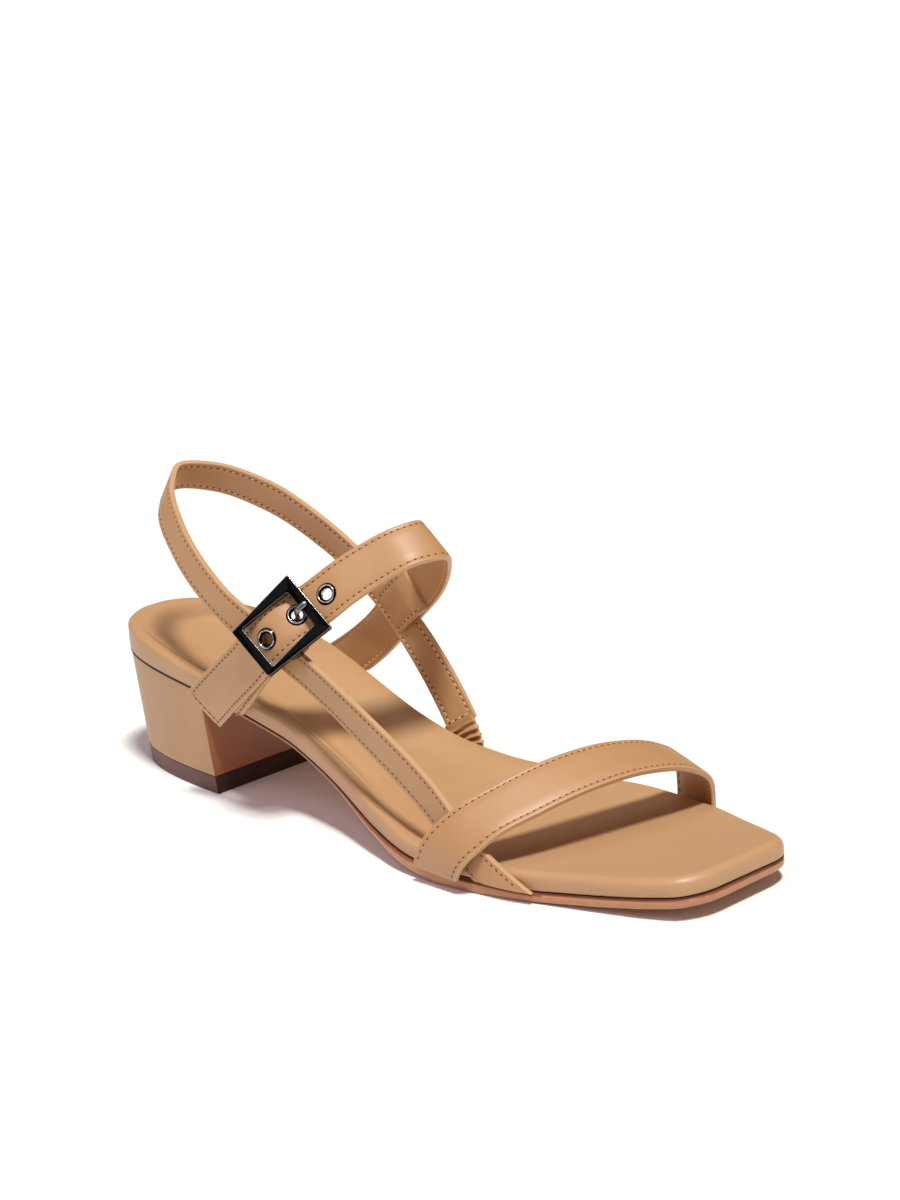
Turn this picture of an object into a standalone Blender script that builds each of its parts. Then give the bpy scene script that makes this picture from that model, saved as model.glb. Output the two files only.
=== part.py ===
# Low heel sandal, right foot: sole, block heel, strap upper and square buckle.
# Sizes are millimetres in the tables and turn into metres when a mesh is made.
# x runs from the back of the heel seat to the toe, y to the inner side, z up from the floor.

from collections import namedtuple
import math

import bmesh
import bpy
import numpy as np
from mathutils import Matrix, Vector

MM = 0.001
GAP = 0.3
CENTRE_X = 128.15
CENTRE_Y = -1.75

# Sole and heel
SOLE_LENGTH = 255.3
OUTSOLE_THICK = 3.0
OUTSOLE_ROUND = 0.6
WELT_PROUD = 1.0
WELT_START = 100.0
WELT_FULL = 150.0
FOOTBED_EDGE = 5.5
FOOTBED_ROUND = 1.8
SEAT_BORDER = 5.0
SEAT_DISH = 2.2
SEAT_FULL = 60.0
SEAT_END = 120.0
BREAST_X = 55.5
BREAST_LEAN = 3.3
BREAST_GAP = 0.6
HEEL_DRAW_LENGTH = 0.984
HEEL_DRAW_WIDTH = 0.94
TOP_PIECE_HEIGHT = 5.2

# Straps and fittings
STRAP_THICK = 2.0
STRAP_EDGE = 0.45
TOE_STRAP_WIDTH = 16.5
SLING_WIDTH = 11.0
ELASTIC_WIDTH = 10.0
INSTEP_WIDTH = 15.2
KEEPER_THICK = 1.4
KEEPER_ARC = 47.5
EYELET_ARC = 133.6
EYELET_PITCH = 11.5
EYELET_COUNT = 3
EYELET_OUTER = 3.0
EYELET_HOLE = 1.9
EYELET_BARREL = 2.4
EYELET_LIP = 0.6
EYELET_LIFT = 0.5
EYELET_SLOPE = 0.15
EYELET_REACH = 2.0
BUCKLE_ARC = EYELET_ARC + 1.5 * EYELET_PITCH
BUCKLE_LENGTH = 24.2
BUCKLE_WIDTH = 21.4
BUCKLE_END_BAR = 2.8
BUCKLE_SIDE_BAR = 2.1
BUCKLE_TOP = 3.3
BUCKLE_END_THICK = 2.1
BUCKLE_SIDE_LOW = -1.25
SHADOW_LINE = 0.12
BUCKLE_BEVEL = 0.35
BAR_RADIUS = 0.8
BAR_LEVEL = -1.2
PRONG_RADIUS = 0.65
SLOT_LENGTH = 3.6
SLOT_WIDTH = 2.8
SLOT_DEPTH = (-6.0, 2.0)

# Lengths over which a strap's end turns to lie along the sole seam
INSTEP_SEAM = 24.0
SLING_SEAM = 44.0
TOE_SEAM = 8.0
ELASTIC_SEAM = 5.0

# Rings along each part, and sides round it
FOOTBED_STATIONS = 46
FOOTBED_STRIPS = 6
OUTSOLE_STATIONS = 38
HEEL_STATIONS = 20
INSTEP_RINGS = 72
SLING_RINGS = 84
TOE_RINGS = 44
TAB_RINGS = 18
KEEPER_RINGS = 15
ELASTIC_RINGS = 9
PRONG_RINGS = 30
PRONG_SIDES = 10
EYELET_SIDES = 24
DRILL_SIDES = 20
BAR_SIDES = 12
EDGE_SAMPLES = 4000
PATH_SAMPLES = 600
SEAM_HALVINGS = 40

OutlineRow = namedtuple("OutlineRow", "x lateral medial")
OUTLINE = [
    OutlineRow(0.0, 2.5, 2.5),
    OutlineRow(1.5, 8.2, 8.6),
    OutlineRow(5.5, 14.4, 15.0),
    OutlineRow(13.0, 19.6, 20.2),
    OutlineRow(24.0, 23.6, 23.8),
    OutlineRow(38.0, 26.4, 25.0),
    OutlineRow(55.0, 28.2, 23.2),
    OutlineRow(75.0, 28.0, 19.9),
    OutlineRow(98.0, 27.0, 16.6),
    OutlineRow(120.0, 29.8, 17.6),
    OutlineRow(140.0, 35.6, 23.8),
    OutlineRow(160.0, 41.0, 33.6),
    OutlineRow(178.0, 41.4, 38.6),
    OutlineRow(196.0, 38.8, 38.8),
    OutlineRow(213.0, 34.6, 36.2),
    OutlineRow(230.0, 30.2, 30.2),
    OutlineRow(244.0, 26.0, 23.8),
    OutlineRow(250.5, 23.0, 19.6),
    OutlineRow(254.0, 17.6, 15.5),
    OutlineRow(SOLE_LENGTH, 10.0, 10.0),
]

# Height of the seam, which is the top of the outsole and of the heel
ProfileRow = namedtuple("ProfileRow", "x seam")
PROFILE = [
    ProfileRow(0.0, 41.1),
    ProfileRow(30.0, 37.3),
    ProfileRow(60.0, 33.0),
    ProfileRow(90.0, 25.8),
    ProfileRow(110.0, 18.6),
    ProfileRow(130.0, 11.5),
    ProfileRow(150.0, 6.4),
    ProfileRow(165.0, 3.8),
    ProfileRow(174.0, OUTSOLE_THICK),
    ProfileRow(199.0, OUTSOLE_THICK),
    ProfileRow(225.0, 4.4),
    ProfileRow(256.0, 7.4),
]

# Straps: centre line of each and the lean of its width about that line, in degrees
StrapRow = namedtuple("StrapRow", "x y z lean")
TOE_STRAP = [
    StrapRow(173.5, -43.0, 1.5, -2),
    StrapRow(179.0, -44.0, 11.5, 1),
    StrapRow(186.0, -39.0, 19.5, 13),
    StrapRow(193.0, -25.0, 25.5, 21),
    StrapRow(198.5, -7.0, 29.0, 23),
    StrapRow(202.5, 12.0, 28.5, 22),
    StrapRow(204.5, 27.0, 24.5, 20),
    StrapRow(204.0, 36.5, 18.5, 15),
    StrapRow(202.0, 39.7, 11.5, 10),
    StrapRow(201.5, 39.9, 4.0, 9),
]
SLING = [
    StrapRow(208.0, -39.8, -0.5, 14),
    StrapRow(191.5, -41.4, 10.0, 14),
    StrapRow(168.0, -38.0, 24.5, 12),
    StrapRow(135.5, -32.7, 38.5, 3),
    StrapRow(99.9, -27.3, 51.8, -1),
    StrapRow(71.0, -26.6, 67.1, 7),
    StrapRow(47.5, -22.5, 81.0, 18),
    StrapRow(32.3, -13.5, 91.1, 28),
    StrapRow(26.2, -4.0, 95.2, 27),
    StrapRow(31.0, 6.5, 93.6, 19),
    StrapRow(44.0, 17.0, 87.1, 10),
    StrapRow(63.0, 23.0, 75.7, 7),
    StrapRow(84.5, 24.0, 61.5, -2),
    StrapRow(106.0, 23.0, 44.0, -21),
    StrapRow(124.0, 21.2, 24.0, -34),
]
INSTEP_STRAP = [
    StrapRow(59.0, 23.0, 27.5, -12),
    StrapRow(78.5, 26.0, 40.5, -12),
    StrapRow(95.5, 25.5, 55.5, -2),
    StrapRow(111.5, 22.0, 69.0, 3),
    StrapRow(123.0, 16.0, 80.0, 5),
    StrapRow(129.0, 9.0, 85.0, 8),
    StrapRow(126.7, 0.0, 84.8, 15),
    StrapRow(118.7, -10.0, 79.8, 13),
    StrapRow(110.5, -19.5, 72.5, 9),
    StrapRow(103.5, -27.0, 66.0, 6),
    StrapRow(97.0, -33.5, 59.0, 0),
    StrapRow(88.5, -35.0, 50.8, -5),
    StrapRow(76.4, -34.0, 41.5, -9),
    StrapRow(61.5, -31.6, 30.2, -17),
]
BUCKLE_TAB = [
    StrapRow(99.1, -30.7, 61.1, 3),
    StrapRow(96.2, -31.6, 58.3, 0),
    StrapRow(89.0, -33.2, 50.6, -5),
    StrapRow(77.9, -32.2, 40.2, -8),
    StrapRow(65.6, -30.2, 29.1, -9),
]
ELASTIC = [
    StrapRow(124.4, 21.3, 23.4, -32),
    StrapRow(126.6, 22.0, 18.0, -24),
    StrapRow(128.0, 21.8, 12.0, -18),
]

# The instep strap dips under the front bar and rises over the centre bar
WeaveRow = namedtuple("WeaveRow", "along lift")
WEAVE = [
    WeaveRow(-22.0, 0.0),
    WeaveRow(-10.0, -1.3),
    WeaveRow(0.0, 0.9),
    WeaveRow(10.0, 0.4),
    WeaveRow(22.0, 0.0),
]

# The keeper bridges the sling on the foot side of the instep strap
KeeperRow = namedtuple("KeeperRow", "along depth")
KEEPER = [
    KeeperRow(-10.0, 1.5),
    KeeperRow(-7.2, 3.0),
    KeeperRow(-5.0, 3.6),
    KeeperRow(0.0, 3.8),
    KeeperRow(5.0, 3.6),
    KeeperRow(7.2, 3.0),
    KeeperRow(10.0, 1.5),
]

# The prong hooks round the centre bar from below: place along the strap and height off it
ProngRow = namedtuple("ProngRow", "along height")
PRONG_HOOK = [
    ProngRow(1.8, BAR_LEVEL - 0.4),
    ProngRow(1.2, BAR_LEVEL - 1.4),
    ProngRow(0.0, BAR_LEVEL - 1.8),
    ProngRow(-1.6, BAR_LEVEL - 1.5),
]
PRONG_REACH = [
    ProngRow(-8.0, BUCKLE_TOP + 0.95),
    ProngRow(-9.6, BUCKLE_TOP + 1.15),
    ProngRow(-11.3, BUCKLE_TOP + 1.05),
]

UP = (0.0, 0.0, 1.0)
FORWARD = (1.0, 0.0, 0.0)
BACK_AND_UP = (-0.66, 0.0, 0.75)


def clear_scene():
    for item in list(bpy.data.objects):
        bpy.data.objects.remove(item, do_unlink=True)


def finish(name, colour, roughness, metallic):
    material = bpy.data.materials.new(name)
    material.use_nodes = True
    shader = material.node_tree.nodes["Principled BSDF"]
    shader.inputs["Base Color"].default_value = (*colour, 1.0)
    shader.inputs["Roughness"].default_value = roughness
    shader.inputs["Metallic"].default_value = metallic
    return material


def steady_slopes(place, value):
    # Slopes of a curve that never overshoots its rows, so equal rows stay flat
    step = np.diff(place)
    rise = np.diff(value) / step
    slope = np.zeros(len(value))
    slope[0] = rise[0]
    slope[-1] = rise[-1]
    for i in range(1, len(value) - 1):
        if rise[i - 1] * rise[i] > 0:
            slope[i] = 2.0 * rise[i - 1] * rise[i] / (rise[i - 1] + rise[i])
    return slope


def free_slopes(place, value):
    # Slopes of a curve that swings smoothly through its rows
    step = np.diff(place)[:, None]
    rise = np.diff(value, axis=0) / step
    slope = np.zeros_like(value)
    slope[1:-1] = (rise[:-1] * step[1:] + rise[1:] * step[:-1]) / (step[1:] + step[:-1])
    slope[0] = 2.0 * rise[0] - slope[1]
    slope[-1] = 2.0 * rise[-1] - slope[-2]
    return slope


def hermite(place, value, slope, at):
    value = np.asarray(value, float).reshape(len(place), -1)
    slope = np.asarray(slope, float).reshape(len(place), -1)
    at = np.atleast_1d(np.asarray(at, float))
    k = np.clip(np.searchsorted(place, at, side="right") - 1, 0, len(place) - 2)
    step = (place[k + 1] - place[k])[:, None]
    w = (at - place[k])[:, None] / step
    return (value[k] * (1 + 2 * w) * (1 - w) ** 2 + slope[k] * step * w * (1 - w) ** 2
            + value[k + 1] * w ** 2 * (3 - 2 * w) + slope[k + 1] * step * w ** 2 * (w - 1))


def steady_curve(rows, at):
    table = np.array(rows, float)
    limited = np.clip(at, table[0, 0], table[-1, 0])
    return hermite(table[:, 0], table[:, 1], steady_slopes(table[:, 0], table[:, 1]), limited)[:, 0]


def seam_height(x):
    return float(steady_curve(PROFILE, x)[0])


def outline_between(start, end, count):
    # Stations of the sole outline, evenly spread along its edge
    table = np.array(OUTLINE, float)
    place = np.concatenate([[0.0], np.cumsum(np.linalg.norm(np.diff(table, axis=0), axis=1))])
    slope = free_slopes(place, table)
    fine = np.linspace(0.0, place[-1], EDGE_SAMPLES)
    x = hermite(place, table, slope, fine)[:, 0]
    first = fine[np.searchsorted(x, start)] if start > 0.0 else 0.0
    last = fine[np.searchsorted(x, end)] if end < SOLE_LENGTH else place[-1]
    return hermite(place, table, slope, np.linspace(first, last, count))


def edge_loop(stations):
    # Outer side from heel to toe, then inner side back to the heel
    outer = [(x, -lateral) for x, lateral, medial in stations]
    inner = [(x, medial) for x, lateral, medial in stations[::-1]]
    return np.array(outer + inner)


def inset_loop(loop, distance):
    before = loop - np.roll(loop, 1, axis=0)
    after = np.roll(loop, -1, axis=0) - loop
    before /= np.linalg.norm(before, axis=1)[:, None]
    after /= np.linalg.norm(after, axis=1)[:, None]
    run = before + after
    run /= np.linalg.norm(run, axis=1)[:, None]
    return loop + distance * np.stack([-run[:, 1], run[:, 0]], axis=1)


def placed(point):
    return ((point[0] - CENTRE_X) * MM, (point[1] - CENTRE_Y) * MM, point[2] * MM)


def smooth_object(name, bm, material, sharp_angle=35.0):
    bmesh.ops.recalc_face_normals(bm, faces=bm.faces)
    mesh = bpy.data.meshes.new(name)
    bm.to_mesh(mesh)
    bm.free()
    mesh.shade_smooth()
    mesh.set_sharp_from_angle(angle=math.radians(sharp_angle))
    mesh.materials.append(material)
    item = bpy.data.objects.new(name, mesh)
    bpy.context.scene.collection.objects.link(item)
    return item


def loft(name, rings, material, caps=True):
    # Closed rings of equal count, joined by quads, with both ends filled
    bm = bmesh.new()
    loops = [[bm.verts.new(placed(point)) for point in ring] for ring in rings]
    count = len(loops[0])
    for low, high in zip(loops[:-1], loops[1:]):
        for i in range(count):
            j = (i + 1) % count
            bm.faces.new((low[i], low[j], high[j], high[i]))
    if caps:
        bm.faces.new(loops[0][::-1])
        bm.faces.new(loops[-1])
    return smooth_object(name, bm, material)


def sole_layer(name, rings, material, fill_low, fill_high, across):
    # A layer of the sole: rings round the edge, then strips from the outer to the inner side
    bm = bmesh.new()
    loops = [[bm.verts.new(placed(point)) for point in ring] for ring in rings]
    count = len(loops[0])
    for low, high in zip(loops[:-1], loops[1:]):
        for i in range(count):
            j = (i + 1) % count
            bm.faces.new((low[i], low[j], high[j], high[i]))
    for loop, ring, height in ((loops[0], rings[0], fill_low), (loops[-1], rings[-1], fill_high)):
        half = count // 2
        strips = []
        for i in range(half):
            outer = ring[i]
            inner = ring[count - 1 - i]
            strip = [loop[i]]
            for k in range(1, across):
                part = k / across
                x = outer[0] + (inner[0] - outer[0]) * part
                y = outer[1] + (inner[1] - outer[1]) * part
                edge = outer[2] + (inner[2] - outer[2]) * part
                strip.append(bm.verts.new(placed((x, y, height(x, part, edge)))))
            strip.append(loop[count - 1 - i])
            strips.append(strip)
        for near, far in zip(strips[:-1], strips[1:]):
            for k in range(across):
                bm.faces.new((near[k], near[k + 1], far[k + 1], far[k]))
        for strip in (strips[0], strips[-1]):
            if across > 1:
                bm.faces.new(strip)
    return smooth_object(name, bm, material)


def at_edge(x, part, edge):
    return edge


def seat_dish(x, part, edge):
    # The heel seat is cupped and runs out flat at the waist
    fade = 1.0 - np.clip((x - SEAT_FULL) / (SEAT_END - SEAT_FULL), 0.0, 1.0)
    bowl = math.sin(math.pi * part) ** 0.5
    return edge - SEAT_DISH * fade ** 2 * bowl


def make_footbed(material):
    stations = outline_between(0.0, SOLE_LENGTH, FOOTBED_STATIONS)
    loop = edge_loop(stations)
    steps = [
        (0.0, 0.0),
        (0.0, FOOTBED_EDGE - FOOTBED_ROUND),
        (0.3 * FOOTBED_ROUND, FOOTBED_EDGE - 0.3 * FOOTBED_ROUND),
        (FOOTBED_ROUND, FOOTBED_EDGE),
        (SEAT_BORDER, FOOTBED_EDGE),
    ]
    rings = []
    for inset, height in steps:
        ring = [(x, y, seam_height(x) + GAP + height) for x, y in inset_loop(loop, inset)]
        rings.append(ring)
    return sole_layer("footbed", rings, material, at_edge, seat_dish, FOOTBED_STRIPS)


def make_outsole(material):
    stations = outline_between(BREAST_X + BREAST_GAP, SOLE_LENGTH, OUTSOLE_STATIONS)
    loop = edge_loop(stations)
    proud = WELT_PROUD * np.clip((loop[:, 0] - WELT_START) / (WELT_FULL - WELT_START), 0.0, 1.0)
    unit = inset_loop(loop, -1.0) - loop
    unit[proud == 0.0] = 0.0
    loop = loop + unit * proud[:, None]
    steps = [
        (OUTSOLE_ROUND, -OUTSOLE_THICK),
        (0.0, OUTSOLE_ROUND - OUTSOLE_THICK),
        (0.0, 0.0),
    ]
    rings = []
    for inset, height in steps:
        ring = [(x, y, seam_height(x) + height) for x, y in inset_loop(loop, inset)]
        rings.append(ring)
    return sole_layer("outsole", rings, material, at_edge, at_edge, 1)


def heel_ring(loop, level):
    # The heel draws in evenly towards its foot, and its flat breast leans forward
    ring = []
    for x, y in loop:
        top = seam_height(x)
        down = (top - level) / top if level < top else 0.0
        draw_x = 1.0 - (1.0 - HEEL_DRAW_LENGTH) * down
        draw_y = 1.0 - (1.0 - HEEL_DRAW_WIDTH) * down
        breast = BREAST_X + BREAST_LEAN * down
        ring.append((breast - (BREAST_X - x) * draw_x, y * draw_y, min(level, top)))
    return ring


def make_heel(cover, rubber):
    loop = edge_loop(outline_between(0.0, BREAST_X, HEEL_STATIONS))
    highest = seam_height(0.0)
    block_foot = TOP_PIECE_HEIGHT + GAP
    block = [heel_ring(loop, block_foot), heel_ring(loop, highest)]
    sole_layer("heel_block", block, cover, at_edge, at_edge, 1)
    lift = [heel_ring(loop, 0.0), heel_ring(loop, TOP_PIECE_HEIGHT)]
    sole_layer("heel_top_piece", lift, rubber, at_edge, at_edge, 1)


class Path:
    # A strap's centre line with its width and outward directions at every arc length

    def __init__(self, rows, width_way, weave=None):
        table = np.array(rows, float)
        chord = np.linalg.norm(np.diff(table[:, :3], axis=0), axis=1)
        place = np.concatenate([[0.0], np.cumsum(chord)])
        fine = np.linspace(0.0, place[-1], PATH_SAMPLES)
        value = hermite(place, table, free_slopes(place, table), fine)
        self.way = np.array(width_way)
        self.centre = value[:, :3]
        self.lean = np.radians(value[:, 3])
        self.turn()
        if weave is not None:
            self.centre = self.centre + weave(self.arc)[:, None] * self.out
            self.turn()

    def turn(self):
        step = np.linalg.norm(np.diff(self.centre, axis=0), axis=1)
        self.arc = np.concatenate([[0.0], np.cumsum(step)])
        along = np.gradient(self.centre, self.arc, axis=0)
        self.along = along / np.linalg.norm(along, axis=1)[:, None]
        flat = self.way - (self.along @ self.way)[:, None] * self.along
        flat /= np.linalg.norm(flat, axis=1)[:, None]
        side = np.cross(self.along, flat)
        lean = self.lean[:, None]
        self.width = flat * np.cos(lean) + side * np.sin(lean)
        self.out = -np.cross(self.along, self.width)

    def length(self):
        return self.arc[-1]

    def read(self, table, s):
        return np.array([np.interp(s, self.arc, table[:, i]) for i in range(3)])

    def point(self, s, across, through):
        inside = min(max(s, 0.0), self.length())
        spot = self.read(self.centre, inside) + (s - inside) * self.read(self.along, inside)
        return spot + across * self.read(self.width, inside) + through * self.read(self.out, inside)

    def axes(self, s):
        return self.read(self.along, s), self.read(self.width, s), self.read(self.out, s)


def above_seam(point):
    return point[2] - seam_height(point[0]) - GAP


def seam_arc(path, across, through, low, high):
    # Arc length at which one line of the strap meets the seam of the sole
    below = low
    above = high
    for _ in range(SEAM_HALVINGS):
        middle = 0.5 * (below + above)
        if above_seam(path.point(middle, across, through)) < 0.0:
            below = middle
        else:
            above = middle
    return 0.5 * (below + above)


def strap_section(width, thick):
    w = width / 2
    t = thick / 2
    c = STRAP_EDGE
    low = [(-w, c - t), (c - w, -t), (w - c, -t), (w, c - t)]
    high = [(w, t - c), (w - c, t), (c - w, t), (-w, t - c)]
    return low + high


def strap_rings(path, width, count, seam_at_start=0.0, seam_at_end=0.0, start=0.0, end=None):
    # seam_at_start and seam_at_end are the lengths over which a cut along the sole seam fades out
    end = path.length() if end is None else end
    section = strap_section(width, STRAP_THICK)
    spread = width * 2.0
    first = [start] * len(section)
    last = [end] * len(section)
    if seam_at_start:
        first = [seam_arc(path, a, t, start - spread, start + seam_at_start) for a, t in section]
    if seam_at_end:
        last = [seam_arc(path, a, t, end + spread, end - seam_at_end) for a, t in section]
    rings = []
    for k in range(count):
        s = start + (end - start) * k / (count - 1)
        ring = []
        for (a, t), s_first, s_last in zip(section, first, last):
            slide = 0.0
            if seam_at_start:
                slide += (s_first - start) * max(0.0, 1.0 - (s - start) / seam_at_start)
            if seam_at_end:
                slide += (s_last - end) * max(0.0, 1.0 - (end - s) / seam_at_end)
            ring.append(path.point(s + slide, a, t))
        rings.append(ring)
    return rings


def as_helper(item):
    item.hide_render = True
    item.display_type = "WIRE"
    return item


def boolean(item, other, operation):
    step = item.modifiers.new(other.name, "BOOLEAN")
    step.operation = operation
    step.solver = "EXACT"
    step.object = other
    return step


def rod(name, low, high, radius, sides, material):
    # A straight round bar between two points
    a = Vector(placed(low))
    b = Vector(placed(high))
    axis = b - a
    bm = bmesh.new()
    bmesh.ops.create_cone(bm, cap_ends=True, segments=sides, radius1=radius * MM, radius2=radius * MM,
                          depth=axis.length)
    turn = Vector((0.0, 0.0, 1.0)).rotation_difference(axis).to_matrix().to_4x4()
    bmesh.ops.transform(bm, matrix=Matrix.Translation((a + b) / 2) @ turn, verts=bm.verts)
    return smooth_object(name, bm, material)


def instep_weave(arc):
    return steady_curve(WEAVE, arc - BUCKLE_ARC)


def make_tab(instep, leather):
    # The tab ends at the centre bar, with a slot that clears the prong's hook
    path = Path(BUCKLE_TAB, BACK_AND_UP)
    rings = strap_rings(path, INSTEP_WIDTH, TAB_RINGS, seam_at_end=INSTEP_SEAM)
    tab = loft("buckle_tab_guide", rings, leather)
    across = (-SLOT_WIDTH / 2, SLOT_WIDTH / 2)
    slot = bar("tab_slot_guide", instep, (0.0, SLOT_LENGTH), across, SLOT_DEPTH, leather)
    boolean(tab, as_helper(slot), "DIFFERENCE")
    return tab


def make_upper(instep, sling, leather):
    instep_rings = strap_rings(instep, INSTEP_WIDTH, INSTEP_RINGS, seam_at_start=INSTEP_SEAM)
    sling_rings = strap_rings(sling, SLING_WIDTH, SLING_RINGS, seam_at_start=SLING_SEAM)
    toe_rings = strap_rings(Path(TOE_STRAP, FORWARD), TOE_STRAP_WIDTH, TOE_RINGS, TOE_SEAM, TOE_SEAM)
    upper = loft("upper_straps", instep_rings, leather)
    pieces = [
        loft("sling_guide", sling_rings, leather),
        loft("toe_strap_guide", toe_rings, leather),
        make_tab(instep, leather),
        loft("keeper_guide", keeper_rings(instep), leather),
    ]
    for i in range(EYELET_COUNT):
        s = EYELET_ARC + i * EYELET_PITCH
        low = instep.point(s, 0.0, -STRAP_THICK)
        high = instep.point(s, 0.0, STRAP_THICK)
        drill = rod("eyelet_drill_%d" % (i + 1), low, high, EYELET_BARREL + GAP, DRILL_SIDES, leather)
        boolean(upper, as_helper(drill), "DIFFERENCE")
    for piece in pieces:
        boolean(upper, as_helper(piece), "UNION")


def keeper_rings(instep):
    depth = np.array(KEEPER, float)
    rings = []
    for along in np.linspace(depth[0, 0], depth[-1, 0], KEEPER_RINGS):
        middle = -float(steady_curve(KEEPER, along)[0])
        section = strap_section(INSTEP_WIDTH, KEEPER_THICK)
        rings.append([instep.point(KEEPER_ARC + along, a, middle + t) for a, t in section])
    return rings


def make_elastic(fabric):
    path = Path(ELASTIC, FORWARD)
    rings = strap_rings(path, ELASTIC_WIDTH, ELASTIC_RINGS, seam_at_end=ELASTIC_SEAM)
    return loft("elastic", rings, fabric)


def buckle_point(instep, along, across, height):
    t, w, m = instep.axes(BUCKLE_ARC)
    lift = float(instep_weave(np.array([BUCKLE_ARC]))[0])
    return instep.point(BUCKLE_ARC, 0.0, 0.0) - lift * m + along * t + across * w + height * m


def bar(name, instep, along, across, height, metal):
    # A squared bar given by its limits along, across and off the strap
    bm = bmesh.new()
    bmesh.ops.create_cube(bm, size=1.0)
    limits = (along, across, height)
    for vert in bm.verts:
        spot = [low if part < 0 else high for part, (low, high) in zip(vert.co, limits)]
        vert.co = placed(buckle_point(instep, *spot))
    bmesh.ops.bevel(bm, geom=bm.edges[:], offset=BUCKLE_BEVEL * MM, segments=1, affect="EDGES", profile=0.5)
    return smooth_object(name, bm, metal)


def make_buckle(instep, metal):
    half_length = BUCKLE_LENGTH / 2
    half_width = BUCKLE_WIDTH / 2
    end_height = (BUCKLE_TOP - BUCKLE_END_THICK, BUCKLE_TOP)
    side_height = (BUCKLE_SIDE_LOW, BUCKLE_TOP - SHADOW_LINE)
    full = (-half_width, half_width)
    front_end = (-half_length, BUCKLE_END_BAR - half_length)
    back_end = (half_length - BUCKLE_END_BAR, half_length)
    rod_low = buckle_point(instep, 0.0, BAR_RADIUS - half_width, BAR_LEVEL)
    rod_high = buckle_point(instep, 0.0, half_width - BAR_RADIUS, BAR_LEVEL)
    frame = bar("buckle_frame", instep, front_end, full, end_height, metal)
    run = (SHADOW_LINE - half_length, half_length - SHADOW_LINE)
    upper_side = (half_width - BUCKLE_SIDE_BAR, half_width - SHADOW_LINE)
    lower_side = (SHADOW_LINE - half_width, BUCKLE_SIDE_BAR - half_width)
    pieces = [
        bar("back_bar_guide", instep, back_end, full, end_height, metal),
        bar("upper_bar_guide", instep, run, upper_side, side_height, metal),
        bar("lower_bar_guide", instep, run, lower_side, side_height, metal),
        rod("centre_bar_guide", rod_low, rod_high, BAR_RADIUS, BAR_SIDES, metal),
    ]
    for piece in pieces:
        boolean(frame, as_helper(piece), "UNION")


def make_prong(instep, metal):
    eyelet = EYELET_ARC + EYELET_PITCH
    route = [buckle_point(instep, row.along, 0.0, row.height) for row in PRONG_HOOK]
    route += [instep.point(eyelet, 0.0, depth) for depth in (-EYELET_REACH, 0.0, EYELET_REACH)]
    route += [buckle_point(instep, row.along, 0.0, row.height) for row in PRONG_REACH]
    rows = [(*point, 0.0) for point in route]
    wire = Path(rows, UP)
    rings = []
    angles = [2 * math.pi * i / PRONG_SIDES for i in range(PRONG_SIDES)]
    for s in np.linspace(0.0, wire.length(), PRONG_RINGS):
        end_room = min(s, wire.length() - s)
        radius = PRONG_RADIUS * min(1.0, 0.6 + end_room)
        rings.append([wire.point(s, radius * math.cos(a), radius * math.sin(a)) for a in angles])
    return loft("buckle_prong", rings, metal)


def make_eyelets(instep, metal):
    # A flat lip on the strap and a barrel through it, turned about the hole's axis
    lip_low = STRAP_THICK / 2 + EYELET_LIFT
    lip_high = lip_low + EYELET_LIP
    barrel_low = -STRAP_THICK / 2
    profile = [
        (EYELET_HOLE, barrel_low),
        (EYELET_BARREL, barrel_low),
        (EYELET_BARREL, lip_low),
        (EYELET_OUTER, lip_low),
        (EYELET_OUTER - EYELET_SLOPE, lip_high - EYELET_SLOPE),
        (EYELET_BARREL + EYELET_SLOPE, lip_high),
        (EYELET_HOLE, lip_high - EYELET_SLOPE),
    ]
    for i in range(EYELET_COUNT):
        s = EYELET_ARC + i * EYELET_PITCH
        centre = instep.point(s, 0.0, 0.0)
        t, w, m = instep.axes(s)
        rings = []
        for k in range(EYELET_SIDES):
            angle = 2 * math.pi * k / EYELET_SIDES
            radial = t * math.cos(angle) + w * math.sin(angle)
            rings.append([centre + radius * radial + height * m for radius, height in profile])
        loft("eyelet_%d" % (i + 1), rings + rings[:1], metal, caps=False)


def weld_eyelets():
    # The first and last ring of a turned eyelet are one
    for item in bpy.data.objects:
        if item.name.startswith("eyelet_") and not item.hide_render:
            bm = bmesh.new()
            bm.from_mesh(item.data)
            bmesh.ops.remove_doubles(bm, verts=bm.verts, dist=0.00001)
            bmesh.ops.recalc_face_normals(bm, faces=bm.faces)
            bm.to_mesh(item.data)
            bm.free()


def main():
    clear_scene()
    leather = finish("tan_leather", (0.53, 0.30, 0.15), 0.45, 0.0)
    edge = finish("sole_leather", (0.38, 0.16, 0.07), 0.5, 0.0)
    rubber = finish("top_piece_rubber", (0.09, 0.045, 0.04), 0.6, 0.0)
    fabric = finish("gathered_elastic", (0.42, 0.21, 0.10), 0.7, 0.0)
    metal = finish("gunmetal", (0.10, 0.10, 0.11), 0.22, 1.0)
    make_footbed(leather)
    make_outsole(edge)
    make_heel(leather, rubber)
    instep = Path(INSTEP_STRAP, BACK_AND_UP, instep_weave)
    sling = Path(SLING, UP)
    make_upper(instep, sling, leather)
    make_elastic(fabric)
    make_buckle(instep, metal)
    make_prong(instep, metal)
    make_eyelets(instep, metal)
    weld_eyelets()


main()
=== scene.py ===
import math

import bmesh
import bpy
import numpy as np
from mathutils import Matrix, Vector


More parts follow.
